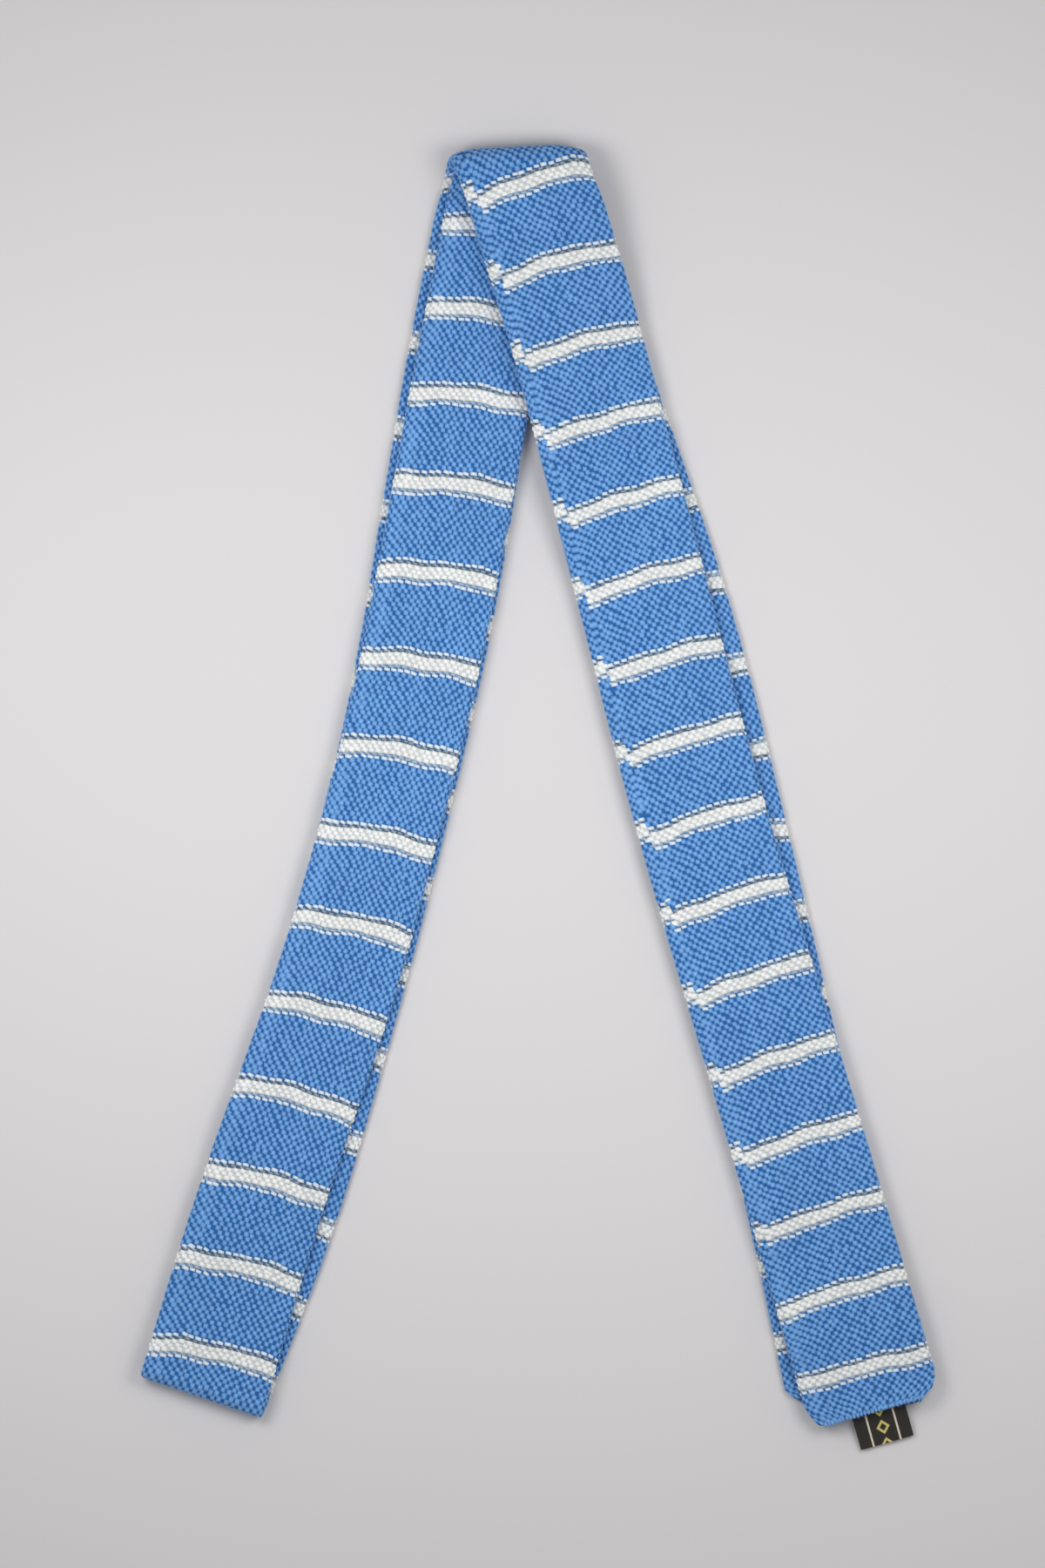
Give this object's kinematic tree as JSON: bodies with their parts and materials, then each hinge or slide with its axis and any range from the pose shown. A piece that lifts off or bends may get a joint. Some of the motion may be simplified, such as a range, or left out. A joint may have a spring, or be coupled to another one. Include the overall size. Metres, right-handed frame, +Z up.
{
  "type": "knit tie",
  "caption": "Skinny square-ended tie, knitted as one long flat tube with narrow cross stripes, folded at the neck and laid as a slim letter A.",
  "frame": {"origin": "middle of the footprint, on the surface the tie lies on", "axes": "+Z up off the surface, +Y from the two ends of the tie to its folded top, +X to the side of the front end"},
  "size_m": [0.2238, 0.3684, 0.0126],
  "materials": {
    "blue_yarn": "knitted, matt",
    "white_yarn": "knitted, matt",
    "label_ribbon": "woven, slightly shiny"
  },
  "bodies": {
    "root": {"knit_tube": "blue_yarn", "woven_label": "label_ribbon"}
  },
  "joints": []
}
